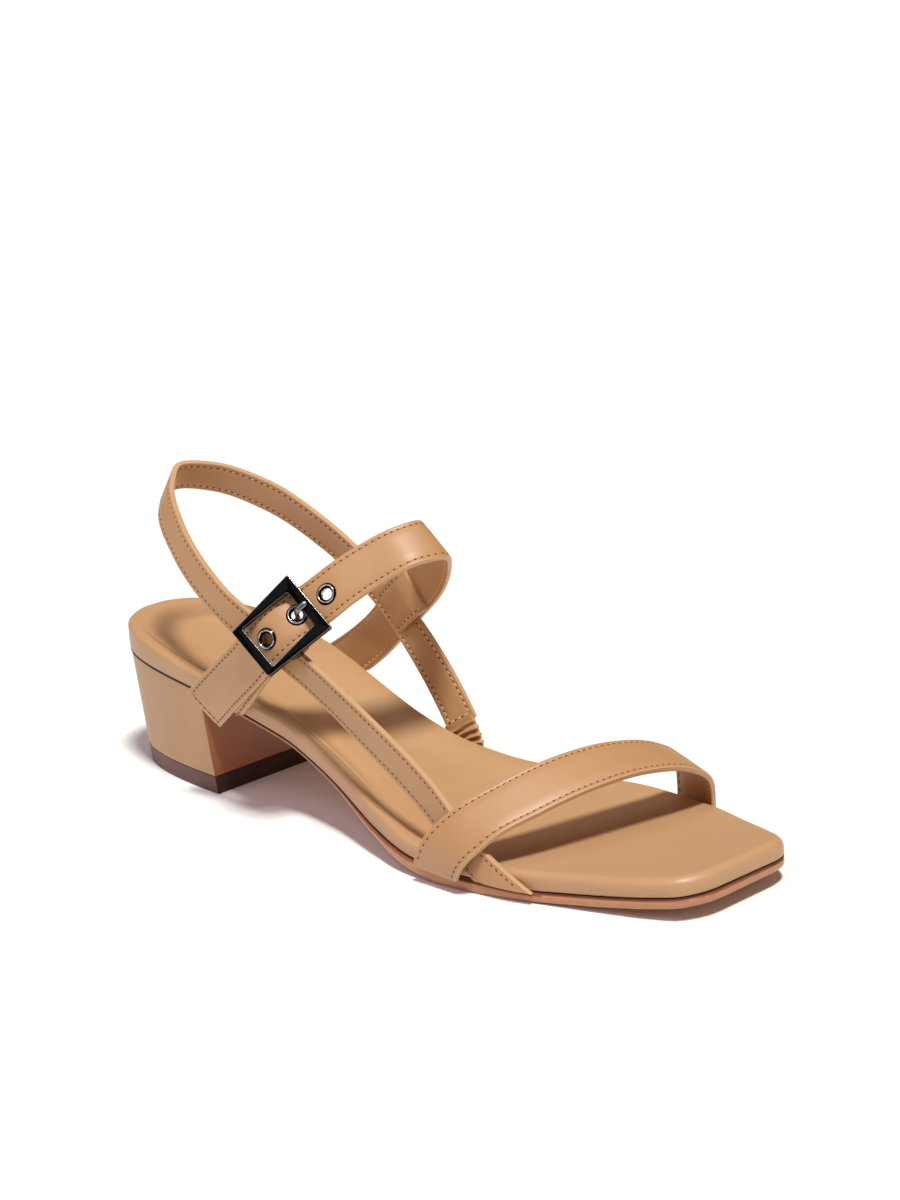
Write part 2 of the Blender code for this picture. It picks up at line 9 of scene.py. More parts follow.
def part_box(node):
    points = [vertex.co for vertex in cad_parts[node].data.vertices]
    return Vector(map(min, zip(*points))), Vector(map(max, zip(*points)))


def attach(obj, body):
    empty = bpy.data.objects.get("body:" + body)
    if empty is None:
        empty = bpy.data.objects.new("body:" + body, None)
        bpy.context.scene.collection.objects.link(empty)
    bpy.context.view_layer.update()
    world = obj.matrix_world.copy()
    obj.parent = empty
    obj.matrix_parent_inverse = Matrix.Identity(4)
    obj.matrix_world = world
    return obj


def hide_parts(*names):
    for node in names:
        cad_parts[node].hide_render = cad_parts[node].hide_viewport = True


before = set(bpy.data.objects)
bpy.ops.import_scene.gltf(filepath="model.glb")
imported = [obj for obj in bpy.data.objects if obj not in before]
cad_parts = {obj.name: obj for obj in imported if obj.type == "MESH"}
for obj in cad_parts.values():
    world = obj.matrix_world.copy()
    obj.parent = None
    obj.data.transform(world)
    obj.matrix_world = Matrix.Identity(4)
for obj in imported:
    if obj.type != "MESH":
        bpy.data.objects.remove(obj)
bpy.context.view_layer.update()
mm = 0.001
hair = 0.01             # mm: two places closer than this are the same
smoothAngle = 38.0      # edges sharper than this stay crisp
print("frame: %d nodes" % len(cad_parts))

# The last, in mm: x from the back of the heel seat, y to the inner side, z up
shoe = {
    "heelBack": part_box("footbed")[0].x,
    "centreLine": 1.75 * mm,
    "length": 255.3,
    "breast": 55.5,
    "gap": 0.3,     # between the layers
    "outline": [  # x, outer side, inner side
        (0.0, 2.5, 2.5), (1.5, 8.2, 8.6), (5.5, 14.4, 15.0), (13.0, 19.6, 20.2), (24.0, 23.6, 23.8),
        (38.0, 26.4, 25.0), (55.0, 28.2, 23.2), (75.0, 28.0, 19.9), (98.0, 27.0, 16.6), (120.0, 29.8, 17.6),
        (140.0, 35.6, 23.8), (160.0, 41.0, 33.6), (178.0, 41.4, 38.6), (196.0, 38.8, 38.8), (213.0, 34.6, 36.2),
        (230.0, 30.2, 30.2), (244.0, 26.0, 24.8), (250.5, 23.0, 21.8), (254.0, 17.6, 18.2), (255.3, 10.0, 11.5),
    ],
    "seam": [  # x, height of the top of outsole and heel
        (0.0, 37.6), (30.0, 35.8), (60.0, 33.0), (90.0, 25.8), (110.0, 18.6), (130.0, 11.5),
        (150.0, 6.4), (165.0, 3.8), (174.0, 3.0), (199.0, 3.0), (225.0, 4.4), (256.0, 7.4),
    ],
    "lip": [(140.0, 0.0), (165.0, 1.1), (180.0, 1.0), (208.0, 0.0)],     # the sole's top, raised at the ball
}


def spot(x, y, z):
    return Vector((shoe["heelBack"] + x * mm, shoe["centreLine"] + y * mm, z * mm))


def lastPlace(co):
    # the frame's metres back to the last's mm
    return (co.x - shoe["heelBack"]) / mm, (co.y - shoe["centreLine"]) / mm, co.z / mm


def hermite(place, value, slope, at):
    value = np.asarray(value, float).reshape(len(place), -1)
    slope = np.asarray(slope, float).reshape(len(place), -1)
    at = np.atleast_1d(np.asarray(at, float))
    k = np.clip(np.searchsorted(place, at, side="right") - 1, 0, len(place) - 2)
    step = (place[k + 1] - place[k])[:, None]
    w = (at - place[k])[:, None] / step
    return (value[k] * (1 + 2 * w) * (1 - w) ** 2 + slope[k] * step * w * (1 - w) ** 2
            + value[k + 1] * w ** 2 * (3 - 2 * w) + slope[k + 1] * step * w ** 2 * (w - 1))


def swingSlopes(place, value):
    step = np.diff(place)[:, None]
    rise = np.diff(value, axis=0) / step
    slope = np.zeros_like(value)
    slope[1:-1] = (rise[:-1] * step[1:] + rise[1:] * step[:-1]) / (step[1:] + step[:-1])
    slope[0] = 2 * rise[0] - slope[1]
    slope[-1] = 2 * rise[-1] - slope[-2]
    return slope


def steadyCurve(rows, at):
    # never overshoots its rows, so equal rows stay flat
    table = np.array(rows, float)
    place = table[:, 0]
    rise = np.diff(table[:, 1]) / np.diff(place)
    slope = np.zeros(len(place))
    slope[0] = rise[0]
    slope[-1] = rise[-1]
    for i in range(1, len(place) - 1):
        if rise[i - 1] * rise[i] > 0:
            slope[i] = 2 * rise[i - 1] * rise[i] / (rise[i - 1] + rise[i])
    return hermite(place, table[:, 1], slope, np.clip(at, place[0], place[-1]))[:, 0]


def seamBase(x):
    return steadyCurve(shoe["seam"], x)


def seamHeight(x):
    return seamBase(x) + steadyCurve(shoe["lip"], x)


def smoothStep(low, high, value):
    w = np.clip((value - low) / (high - low), 0, 1)
    return w * w * (3 - 2 * w)


class Ribbon:
    # A strap's centre line, with its width and outward directions at every length
    steps = 600

    def __init__(self, rows, widthWay, weave=None):
        table = np.array(rows, float)
        chord = np.linalg.norm(np.diff(table[:, :3], axis=0), axis=1)
        place = np.concatenate([[0.0], np.cumsum(chord)])
        value = hermite(place, table, swingSlopes(place, table), np.linspace(0, place[-1], self.steps))
        self.way = np.array(widthWay)
        self.centre = value[:, :3]
        self.lean = np.radians(value[:, 3])
        self.turn()
        if weave:
            lift = steadyCurve(weave["lift"], self.arc - weave["at"])
            self.centre = self.centre + lift[:, None] * self.out
            self.turn()

    def turn(self):
        step = np.linalg.norm(np.diff(self.centre, axis=0), axis=1)
        self.arc = np.concatenate([[0.0], np.cumsum(step)])
        along = np.gradient(self.centre, self.arc, axis=0)
        self.along = along / np.linalg.norm(along, axis=1)[:, None]
        flat = self.way - (self.along @ self.way)[:, None] * self.along
        flat /= np.linalg.norm(flat, axis=1)[:, None]
        side = np.cross(self.along, flat)
        lean = self.lean[:, None]
        self.width = flat * np.cos(lean) + side * np.sin(lean)
        self.out = -np.cross(self.along, self.width)
        self.length = self.arc[-1]

    def read(self, table, s):
        return np.array([np.interp(s, self.arc, table[:, i]) for i in range(3)])

    def place(self, s):
        # local mm (across, outwards, along) to the frame's metres
        inside = min(max(s, 0.0), self.length)
        across = self.read(self.width, inside)
        outward = self.read(self.out, inside)
        along = self.read(self.along, inside)
        at = spot(*(self.read(self.centre, inside) + (s - inside) * along))
        turned = Matrix((across, outward, along)).transposed().to_4x4()
        return Matrix.Translation(at) @ turned @ Matrix.Scale(mm, 4)


# Materials
class Field:
    # A socket that takes Python's operators

    def __init__(self, finish, socket):
        self.finish = finish
        self.socket = socket

    def maths(self, operation, a, b):
        return self.finish.node("ShaderNodeMath", {"operation": operation}, {0: a, 1: b})

    def __add__(self, other):
        return self.maths("ADD", self, other)

    def __radd__(self, other):
        return self.maths("ADD", other, self)

    def __sub__(self, other):
        return self.maths("SUBTRACT", self, other)

    def __rsub__(self, other):
        return self.maths("SUBTRACT", other, self)

    def __mul__(self, other):
        return self.maths("MULTIPLY", self, other)

    def __rmul__(self, other):
        return self.maths("MULTIPLY", other, self)


class Finish:
    def __init__(self, name):
        self.material = bpy.data.materials.new(name)
        self.material.use_nodes = True
        self.tree = self.material.node_tree
        self.shader = self.tree.nodes["Principled BSDF"]

    def node(self, kind, settings, sockets, output=0):
        made = self.tree.nodes.new(kind)
        for key, value in settings.items():
            setattr(made, key, value)
        for key, value in sockets.items():
            self.feed(made.inputs[key], value)
        return Field(self, made.outputs[output])

    def feed(self, socket, value):
        if isinstance(value, Field):
            self.tree.links.new(value.socket, socket)
        else:
            socket.default_value = value

    def set(self, values):
        for key, value in values.items():
            self.feed(self.shader.inputs[key], value)
        return self.material

    def coords(self):
        return self.node("ShaderNodeTexCoord", {}, {}, "Object")

    def noise(self, scale, detail, rough=0.5):
        return self.node("ShaderNodeTexNoise", {}, {"Vector": self.coords(), "Scale": scale, "Detail": detail,
                                                    "Roughness": rough})

    def cells(self, scale):
        return self.node("ShaderNodeTexVoronoi", {}, {"Vector": self.coords(), "Scale": scale}, "Distance")

    def attribute(self, name):
        return self.node("ShaderNodeAttribute", {"attribute_name": name}, {}, "Fac")

    def mix(self, amount, a, b):
        return self.node("ShaderNodeMix", {"data_type": "RGBA"}, {0: amount, 6: a, 7: b}, 2)

    def clamp(self, value):
        return self.node("ShaderNodeClamp", {}, {0: value})

    def bump(self, height, depth, strength):
        return self.node("ShaderNodeBump", {}, {"Height": height, "Distance": depth, "Strength": strength})


def tint(red, green, blue):
    # sRGB 0 to 255 to a linear colour
    def line(c):
        c /= 255
        return c / 12.92 if c <= 0.04045 else ((c + 0.055) / 1.055) ** 2.4
    return (line(red), line(green), line(blue), 1.0)


leatherLook = {
    "tan": tint(192, 146, 99),
    "warm": tint(186, 137, 88),
    "rosy": tint(190, 140, 101),
    # paler cut edges: partly the edge's own colour, partly a painted highlight
    "rim": tint(222, 182, 140),
    "paleEdgeAndHighlightAmount": 0.5,
    "poreTint": tint(150, 100, 60),
    "grooveShadeTint": tint(112, 70, 40),
    "grooveShadeAmount": 0.5,
    "cloud": {"scale": 45.0, "from": 0.35, "gain": 2.2, "roughSwing": 0.14},
    "patch": {"scale": 14.0, "from": 0.4, "gain": 1.6},
    "pore": {"scale": 2600.0, "under": 0.22, "gain": 3.0, "amount": 0.35, "height": 0.5, "roughSwing": 0.12},
    "wrinkle": {"scale": 520.0, "height": 0.9},
    "roughness": 0.46,
    "specular": 0.6,
    "coat": 0.15,
    "coatRoughness": 0.45,
    "grainDepth": 0.05 * mm,
    "grainStrength": 0.55,
}


def leatherFinish(name, look, paleEdgeAndHighlight=True, pressed=False):
    # smooth grain leather: soft cloudy colour, fine pores, faint wrinkles and a paler cut edge, which is partly
    # the edge's own colour and partly a painted highlight
    finish = Finish(name)
    cloud = finish.noise(look["cloud"]["scale"], detail=4.0, rough=0.55)
    patch = finish.noise(look["patch"]["scale"], detail=2.0)
    clouded = finish.clamp((cloud - look["cloud"]["from"]) * look["cloud"]["gain"])
    base = finish.mix(clouded, look["tan"], look["warm"])
    patched = finish.clamp((patch - look["patch"]["from"]) * look["patch"]["gain"])
    base = finish.mix(patched, base, look["rosy"])
    pore = look["pore"]
    pores = finish.cells(pore["scale"])
    wrinkles = finish.noise(look["wrinkle"]["scale"], detail=5.0, rough=0.6)
    speck = finish.clamp((pore["under"] - pores) * pore["gain"])
    base = finish.mix(speck * pore["amount"], base, look["poreTint"])
    if paleEdgeAndHighlight:
        base = finish.mix(finish.clamp(finish.attribute("rim") * look["paleEdgeAndHighlightAmount"]), base, look["rim"])
    # darker along the footbed's groove: painted shade
    if pressed:
        base = finish.mix(finish.attribute("pressed") * look["grooveShadeAmount"], base, look["grooveShadeTint"])
    height = pores * pore["height"] + wrinkles * look["wrinkle"]["height"]
    rough = look["roughness"] + (cloud - 0.5) * look["cloud"]["roughSwing"] + speck * pore["roughSwing"]
    return finish.set({
        "Base Color": base, "Roughness": rough,
        "Normal": finish.bump(height, look["grainDepth"], look["grainStrength"]),
        "Specular IOR Level": look["specular"],
        "Coat Weight": look["coat"], "Coat Roughness": look["coatRoughness"],
    })


plainLook = {"darker": 0.72, "from": 0.4, "gain": 2.5, "roughSwing": 0.1, "detail": 3.0, "grainStrength": 0.5}


def plainFinish(name, colour, roughness, metallic=0.0, speckle=0.0, grain=900.0, depth=0.02):
    # one colour with a darker speckle, for thread, sole, rubber and metal
    finish = Finish(name)
    cloud = finish.noise(grain, plainLook["detail"])
    dark = tuple(c * plainLook["darker"] for c in colour[:3]) + (1.0,)
    spots = finish.clamp((cloud - plainLook["from"]) * plainLook["gain"]) * speckle
    return finish.set({
        "Base Color": finish.mix(spots, colour, dark),
        "Roughness": roughness + (cloud - 0.5) * plainLook["roughSwing"],
        "Normal": finish.bump(cloud, depth * mm, plainLook["grainStrength"]),
        "Metallic": metallic,
    })


footbedLook = {
    **leatherLook, "tan": tint(198, 155, 112), "warm": tint(193, 146, 99), "rosy": tint(194, 146, 107),
}
# darker, redder leather for the heel's breast: painted shade under the arch
breastShadeLook = {
    **leatherLook, "tan": tint(174, 110, 72), "warm": tint(166, 102, 64), "rosy": tint(170, 104, 70),
}
polished = {"metallic": 1.0, "depth": 0.004}
rubbery = {"speckle": 0.6, "grain": 400.0, "depth": 0.05}

strapLeather = leatherFinish("strapLeather", leatherLook)
footbedLeather = leatherFinish("footbedLeather", footbedLook, paleEdgeAndHighlight=False, pressed=True)
heelLeather = leatherFinish("heelLeather", leatherLook, paleEdgeAndHighlight=False)
breastShadeLeather = leatherFinish("breastShadeLeather", breastShadeLook, paleEdgeAndHighlight=False)
threadOuter = plainFinish("threadOuter", tint(202, 154, 108), 0.7, speckle=0.5)
threadInner = plainFinish("threadInner", tint(226, 192, 150), 0.7, speckle=0.4)
# dark marks at the needle holes: painted shade
needleHoleShade = plainFinish("needleHoleShade", tint(92, 54, 30), 0.9, speckle=0.5)
soleEdgeLeather = plainFinish("soleEdgeLeather", tint(194, 134, 98), 0.32, speckle=0.5, grain=300.0)
treadLeather = plainFinish("treadLeather", tint(142, 84, 56), 0.5, speckle=0.8, grain=200.0, depth=0.05)
# a dark sheet in the heel seam: painted shade
seamShadeSheet = plainFinish("seamShadeSheet", tint(64, 32, 20), 0.7, speckle=0.6, grain=300.0)
weltLeather = plainFinish("weltLeather", tint(92, 46, 26), 0.5, speckle=0.8, grain=300.0)
topPieceRubber = plainFinish("topPieceRubber", tint(104, 60, 49), 0.5, **rubbery)
shadedRubber = plainFinish("shadedRubber", tint(64, 36, 29), 0.8, **rubbery)
# the buckle's own dark metal, also laid on the eyelets' slopes as painted shade and dark reflection
gunmetal = plainFinish("gunmetal", tint(21, 23, 20), 0.12, speckle=0.3, grain=200.0, **polished)
brightEdge = plainFinish("brightEdge", tint(176, 172, 172), 0.16, speckle=0.3, grain=300.0, **polished)
eyeletMetal = plainFinish("eyeletMetal", tint(198, 194, 194), 0.17, speckle=0.4, grain=300.0, **polished)
prongMetal = plainFinish("prongMetal", tint(142, 140, 146), 0.26, metallic=1.0, speckle=0.4, grain=500.0,
                         depth=0.01)
print("finishes made")


def meshOf(bm, name):
    mesh = bpy.data.meshes.new(name)
    bm.to_mesh(mesh)
    bm.free()
    return mesh


def addObject(name, data):
    made = bpy.data.objects.new(name, data)
    bpy.context.scene.collection.objects.link(made)
    return made


def makePiece(name, bm, materials, replaced=(), sharp=smoothAngle):
    bmesh.ops.recalc_face_normals(bm, faces=bm.faces)
    mesh = meshOf(bm, name)
    mesh.shade_smooth()
    mesh.set_sharp_from_angle(angle=math.radians(sharp))
    for material in materials:
        mesh.materials.append(material)
    piece = addObject(name, mesh)
    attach(piece, "root")
    if replaced:
        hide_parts(*replaced)
    return piece


def vertsOf(geom):
    return [g for g in geom if isinstance(g, bmesh.types.BMVert)]


def sharpEdges(bm, degrees):
    return [e for e in bm.edges if e.is_manifold and e.calc_face_angle() > math.radians(degrees)]


def bevelEdges(bm, edges, offset, segments):
    return bmesh.ops.bevel(bm, geom=edges, offset=offset, offset_type="OFFSET", segments=segments, profile=0.5,
                           affect="EDGES", clamp_overlap=True, material=-1)["faces"]


def facesTowards(bm, way, least):
    # faces that look this way take the second finish
    bmesh.ops.recalc_face_normals(bm, faces=bm.faces)
    for face in bm.faces:
        face.material_index = 1 if face.normal.dot(way) > least else 0


# Sole: each layer is a grid laid on the last's outline, pulled up into a slab
soleGrid = {
    "fine": 4000,                  # steps for finding a place along the outline
    "packing": (0.3, 0.7),         # shares of even columns and of columns crowded at heel and toe
    "growFade": 50.0,              # a layer grows to its full reach over this length
    "toeFade": (215.0, 245.0),     # at the toe's inner corner it doesn't grow
    "innerFade": (5.0, 18.0),
}


def soleSides(start, end, count, grow=0.0, growFrom=0.0):
    table = np.array(shoe["outline"], float)
    place = np.concatenate([[0.0], np.cumsum(np.linalg.norm(np.diff(table, axis=0), axis=1))])
    slope = swingSlopes(place, table)
    slope[0, 0] = slope[-1, 0] = 0.0     # heel and toe close square
    fine = np.linspace(0, place[-1], soleGrid["fine"])
    x = hermite(place, table, slope, fine)[:, 0]
    first = fine[np.searchsorted(x, start)] if start > 0 else 0.0
    last = fine[np.searchsorted(x, end)] if end < shoe["length"] else place[-1]
    even = np.linspace(0, 1, count)
    evenShare, crowdedShare = soleGrid["packing"]
    packed = evenShare * even + crowdedShare * (0.5 - 0.5 * np.cos(math.pi * even))
    rows = hermite(place, table, slope, first + (last - first) * packed)
    outer = np.stack([rows[:, 0], -rows[:, 1]], axis=1)
    inner = np.stack([rows[:, 0], rows[:, 2]], axis=1)
    if grow:
        loop = np.concatenate([outer, inner[::-1]])
        run = np.roll(loop, -1, axis=0) - np.roll(loop, 1, axis=0)
        run /= np.linalg.norm(run, axis=1)[:, None]
        x, y = loop.T
        reach = grow * smoothStep(growFrom, growFrom + soleGrid["growFade"], x)
        reach *= 1 - smoothStep(*soleGrid["innerFade"], y) * smoothStep(*soleGrid["toeFade"], x)
        loop = loop + reach[:, None] * np.stack([run[:, 1], -run[:, 0]], axis=1)
        outer = loop[:count]
        inner = loop[count:][::-1]
    return outer, inner


def edgeDistance(points, outer, inner):
    # how far each point of a layer lies in from its edge
    loop = np.concatenate([outer, inner[::-1]])
    run = np.roll(loop, -1, axis=0) - loop
    square = np.maximum((run ** 2).sum(1), 1e-9)     # never nought, so that it can divide
    best = np.full(len(points), np.inf)
    for start, way, size in zip(loop, run, square):
        w = np.clip(((points - start) @ way) / size, 0, 1)
        best = np.minimum(best, np.linalg.norm(points - start - w[:, None] * way, axis=1))
    return best


def placeKey(co):
    return tuple(round(c, 7) for c in co)


def soleSlab(outer, inner, across, lower, upper, edgePack=0.0):
    # lower and upper give the places of the two faces from x, y and the distance in from the edge
    bm = bmesh.new()
    bmesh.ops.create_grid(bm, x_segments=len(outer) - 1, y_segments=across, size=1.0)
    bm.verts.ensure_lookup_table()
    uv = np.array([(v.co.x, v.co.y) for v in bm.verts])
    u = np.rint((uv[:, 0] + 1) / 2 * (len(outer) - 1)).astype(int)
    v = (uv[:, 1] + 1) / 2
    v = v + edgePack * (0.5 - 0.5 * np.cos(math.pi * v) - v)
    flat = outer[u] + (inner[u] - outer[u]) * v[:, None]
    inward = edgeDistance(flat, outer, inner)
    for vert, at in zip(bm.verts, lower(flat[:, 0], flat[:, 1], inward)):
        vert.co = spot(*at)
    base = bm.verts[:]
    top = vertsOf(bmesh.ops.extrude_face_region(bm, geom=bm.faces[:])["geom"])
    raised = {}
    for vert, at in zip(base, upper(flat[:, 0], flat[:, 1], inward)):
        raised[placeKey(vert.co)] = spot(*at)
    for vert in top:
        vert.co = raised[placeKey(vert.co)]
    return bm


footbed = {
    "columns": 261, "rows": 84,
    "edge": [(0.0, 9.0), (30.0, 7.0), (60.0, 5.5), (256.0, 5.5)],
    "roll": [(0.0, 1.8), (170.0, 1.8), (215.0, 2.7), (256.0, 3.3)],
    "foot": [(0.0, 0.7), (60.0, 0.7), (90.0, 0.3), (256.0, 0.4)],
    "dish": [(0.0, 2.7), (60.0, 2.6), (105.0, 2.2), (150.0, 1.2), (185.0, 0.2), (256.0, 0.0)],
    "rimIn": 3.2,
    "rimOut": [(0.0, 16.0), (30.0, 17.0), (60.0, 15.0), (100.0, 9.0), (150.0, 7.5), (190.0, 10.0)],
    "innerEase": [  # the rim is this many times wider on the inner side
        (0.0, 1.0), (30.0, 1.0), (60.0, 1.3), (100.0, 1.9), (150.0, 2.0), (190.0, 1.0),
    ],
    "groove": {  # pressed along the seat's rim, on the outer side only
        "in": 4.5, "half": 0.6, "depth": 0.35, "line": 0.32, "from": (10.0, 24.0), "to": (95.0, 150.0),
    },
    "creases": [  # distance in, half width, depth, from and to along the outer side
        {"in": 4.6, "half": 0.9, "depth": 0.45, "from": 80.0, "to": 165.0},
        {"in": 9.0, "half": 1.6, "depth": 0.30, "from": 92.0, "to": 150.0},
    ],
    "creaseDrift": 0.01, "creaseFadeIn": 20.0, "creaseFadeOut": 30.0,
}


def grooveFade(x, y):
    groove = footbed["groove"]
    return (y < 0) * smoothStep(*groove["from"], x) * (1 - smoothStep(*groove["to"], x))


def creaseDepth(x, y, inward):
    depth = np.zeros_like(x)
    for crease in footbed["creases"]:
        start, end = crease["from"], crease["to"]
        line = np.exp(-((inward - crease["in"] - footbed["creaseDrift"] * (x - start)) / crease["half"]) ** 2)
        fade = smoothStep(start, start + footbed["creaseFadeIn"], x)
        fade = fade * (1 - smoothStep(end - footbed["creaseFadeOut"], end, x))
        depth += crease["depth"] * line * fade * (y < 0)
    return depth


def rolled(inward, roll):
    # how far a rolled edge falls away
    short = np.clip(roll - inward, 0, roll)
    return roll - np.sqrt(np.maximum(roll ** 2 - short ** 2, 0))


def footbedTop(x, y, inward):
    drop = rolled(inward, steadyCurve(footbed["roll"], x))
    rim = steadyCurve(footbed["rimOut"], x) * np.where(y > 0, steadyCurve(footbed["innerEase"], x), 1.0)
    reach = (inward - footbed["rimIn"]) / (rim - footbed["rimIn"])
    dish = steadyCurve(footbed["dish"], x) * smoothStep(0.0, 1.0, reach)
    groove = footbed["groove"]
    pressed = groove["depth"] * np.exp(-((inward - groove["in"]) / groove["half"]) ** 2) * grooveFade(x, y)
    level = seamBase(x) + shoe["gap"] + steadyCurve(footbed["edge"], x)
    return np.stack([x, y, level - drop - dish - pressed - creaseDepth(x, y, inward)], axis=1)


def footbedFoot(x, y, inward):
    level = seamHeight(x) + shoe["gap"] + rolled(inward, steadyCurve(footbed["foot"], x))
    return np.stack([x, y, level], axis=1)


outer, inner = soleSides(0.0, shoe["length"], footbed["columns"])
bm = soleSlab(outer, inner, footbed["rows"], footbedFoot, footbedTop, edgePack=1.0)
pressed = bm.verts.layers.float.new("pressed")
flat = np.array([lastPlace(v.co)[:2] for v in bm.verts])
groove = footbed["groove"]
fromGroove = (edgeDistance(flat, outer, inner) - groove["in"]) / groove["line"]
amount = np.exp(-fromGroove ** 2) * grooveFade(*flat.T)
for vert, value in zip(bm.verts, amount):
    vert[pressed] = value     # painted shade in the groove
footbedPiece = makePiece("footbedPad", bm, [footbedLeather], ["footbed"])
print("footbed made")

outsole = {
    "columns": 181, "rows": 44, "start": 56.1, "thick": 3.0, "proud": 1.0, "proudFrom": 100.0,
    "roll": [(60.0, 0.25), (110.0, 0.3), (150.0, 0.6), (175.0, 1.0), (256.0, 1.1)],
    "skive": [(60.0, 2.0), (110.0, 1.9), (150.0, 0.8), (172.0, 0.0)], "skiveIn": 7.0,     # thinned at the waist
    "treadLeast": 0.6,     # faces that look down more than this are tread
    "weltColumns": 121, "weltRows": 8, "weltThick": 0.35, "weltProud": 0.15,
}


def belowSeam(depth):
    def place(x, y, inward):
        return np.stack([x, y, seamHeight(x) - depth], axis=1)
    return place


def outsoleTop(x, y, inward):
    drop = rolled(inward, steadyCurve(outsole["roll"], x))
    return np.stack([x, y, seamHeight(x) - outsole["weltThick"] - drop], axis=1)


def outsoleFoot(x, y, inward):
    rise = rolled(inward, steadyCurve(outsole["roll"], x))
    rise += steadyCurve(outsole["skive"], x) * (1 - smoothStep(0.0, outsole["skiveIn"], inward))
    return np.stack([x, y, seamBase(x) - outsole["thick"] + rise], axis=1)


outer, inner = soleSides(outsole["start"], shoe["length"], outsole["columns"], outsole["proud"],
                         outsole["proudFrom"])
bm = soleSlab(outer, inner, outsole["rows"], outsoleFoot, outsoleTop, edgePack=1.0)
facesTowards(bm, Vector((0.0, 0.0, -1.0)), outsole["treadLeast"])
makePiece("outsoleLeather", bm, [soleEdgeLeather, treadLeather], ["outsole"])
outer, inner = soleSides(outsole["start"], shoe["length"], outsole["weltColumns"], outsole["weltProud"],
                         outsole["proudFrom"])
bm = soleSlab(outer, inner, outsole["weltRows"], belowSeam(outsole["weltThick"]), belowSeam(0.0))
makePiece("outsoleWelt", bm, [weltLeather])
print("outsole made")

heel = {
    "columns": 61, "rows": 24, "drawLength": 0.986, "drawWidth": 0.97, "lean": 3.8, "lift": 5.5,
    "inset": 0.3, "insetFrom": -60.0,     # from behind the heel, so the inset is even
    "round": 0.6, "liftRound": 0.4, "sharper": 50.0,
    "frontLeast": 0.8,     # faces that look forward more than this are the breast
    "seamRows": 8, "seamIn": 0.1, "seamDown": 0.3, "seamUp": 0.6,     # the dark line where it meets the footbed, a sheet of painted shade in the gap
}


def heelLevel(level):
    # the heel draws in evenly towards its foot, and its flat breast leans forward
    def place(x, y, inward):
        top = seamHeight(x)
        z = np.minimum(level, top)
        down = (top - z) / top
        drawX = 1 - (1 - heel["drawLength"]) * down
        drawY = 1 - (1 - heel["drawWidth"]) * down
        breast = shoe["breast"] + heel["lean"] * down
        return np.stack([breast - (shoe["breast"] - x) * drawX, y * drawY, z], axis=1)
    return place


def heelLayer(inset, rows, lower, upper):
    outer, inner = soleSides(0.0, shoe["breast"], heel["columns"], -inset, heel["insetFrom"])
    return soleSlab(outer, inner, rows, lower, upper)


forward = Vector((1.0, 0.0, 0.0))
bm = heelLayer(heel["inset"], heel["rows"], heelLevel(heel["lift"] + shoe["gap"]), heelLevel(math.inf))
bevelEdges(bm, sharpEdges(bm, heel["sharper"]), heel["round"] * mm, segments=3)
# the breast faces take the darker leather as painted shade
facesTowards(bm, forward, heel["frontLeast"])
makePiece("heelBlockCover", bm, [heelLeather, breastShadeLeather], ["heel_block"], sharp=24.0)
bm = heelLayer(heel["inset"], heel["rows"], heelLevel(0.0), heelLevel(heel["lift"]))
bevelEdges(bm, sharpEdges(bm, heel["sharper"]), heel["liftRound"] * mm, segments=2)
facesTowards(bm, forward, heel["frontLeast"])
makePiece("heelTopLift", bm, [topPieceRubber, shadedRubber], ["heel_top_piece"])
# a dark sheet in the gap under the footbed, painted shade
bm = heelLayer(heel["seamIn"], heel["seamRows"], belowSeam(heel["seamDown"]), belowSeam(-heel["seamUp"]))
makePiece("heelSeamShade", bm, [seamShadeSheet])
print("heel made")


# Straps: a closed section is drawn once and extruded along its ribbon
def strapSection(look):
    # each row: across, outwards, and 1 on the cut edges
    half = look["width"] / 2
    r = look["round"]
    line = half - look["stitchIn"]
    dip = look["dipHalf"]
    face = [r - half, -line - dip, -line, dip - line, -line / 2, 0.0,
            line / 2, line - dip, line, line + dip, half - r]
    corner = []
    for degrees in (60, 30, 0, -30, -60):
        turn = math.radians(degrees)
        lift = (look["thick"] / 2 - r) * float(np.sign(degrees))
        corner.append((half - r + r * math.cos(turn), lift + r * math.sin(turn), 1.0))
    section = [(a, faceLevel(look, a), 0.0) for a in face] + corner
    section += [(a, -faceLevel(look, a), 0.0) for a in reversed(face)]
    return section + [(-a, t, edge) for a, t, edge in reversed(corner)]


def faceLevel(look, across):
    half = look["width"] / 2
    line = half - look["stitchIn"]
    level = look["thick"] / 2 + look["crown"] * (1 - (across / half) ** 2)
    return level - (look["dip"] if abs(abs(across) - line) < hair else 0.0)


def sweep(poses, section, lengths):
    bm = bmesh.new()
    rim = bm.verts.layers.float.new("rim")
    along = bm.verts.layers.float.new("along")
    ring = [bm.verts.new(poses[0] @ Vector((a, t, 0.0))) for a, t, edge in section]
    for vert, (a, t, edge) in zip(ring, section):
        vert[rim] = edge
        vert[along] = lengths[0]
    edges = [bm.edges.new((ring[i - 1], ring[i])) for i in range(len(ring))]
    for before, after, s in zip(poses, poses[1:], lengths[1:]):
        made = bmesh.ops.extrude_edge_only(bm, edges=edges)["geom"]
        edges = [g for g in made if isinstance(g, bmesh.types.BMEdge) and g.is_boundary]
        bmesh.ops.transform(bm, matrix=after @ before.inverted(), verts=vertsOf(made))
        for vert in vertsOf(made):
            vert[along] = s
    return bm


def spread(start, end, step):
    return list(np.linspace(start, end, max(2, round((end - start) / step) + 1)))


def strapBody(place, look, start, end):
    lengths = spread(start, end, look["step"])
    return sweep([place(s) for s in lengths], strapSection(look), lengths)


